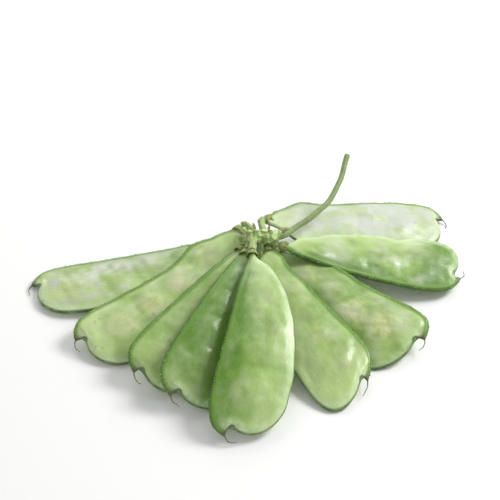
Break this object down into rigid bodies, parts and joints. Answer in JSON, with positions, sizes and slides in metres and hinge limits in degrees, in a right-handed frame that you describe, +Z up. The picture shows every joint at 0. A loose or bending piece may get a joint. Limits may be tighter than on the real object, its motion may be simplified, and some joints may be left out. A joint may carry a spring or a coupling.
{
  "type": "hyacinth bean pod cluster",
  "caption": "Fan of flat, beaked hyacinth bean pods lapping over each other round the knobbly end of one cut stalk, lying as picked.",
  "frame": {"origin": "on the surface that the cluster lies on, under the middle of its bounding box", "axes": "+Z up, away from the surface; the fan of pods opens towards -Y and its outer pods run along -X and +X; the cut stalk points away from the fan, towards +Y"},
  "size_m": [0.1734, 0.1312, 0.0318],
  "materials": {
    "stalk": "satin",
    "calyx": "matte",
    "pod": "waxy satin",
    "style": "matte"
  },
  "bodies": {
    "root": {"stalk": "stalk", "calyx_1": "calyx", "pod_1": "pod", "style_1": "style", "calyx_2": "calyx", "pod_2": "pod", "style_2": "style", "calyx_3": "calyx", "pod_3": "pod", "style_3": "style", "calyx_4": "calyx", "pod_4": "pod", "style_4": "style", "calyx_5": "calyx", "pod_5": "pod", "style_5": "style", "calyx_6": "calyx", "pod_6": "pod", "style_6": "style", "calyx_7": "calyx", "pod_7": "pod", "style_7": "style", "calyx_8": "calyx", "pod_8": "pod", "style_8": "style", "calyx_9": "calyx", "pod_9": "pod", "style_9": "style"}
  },
  "joints": []
}
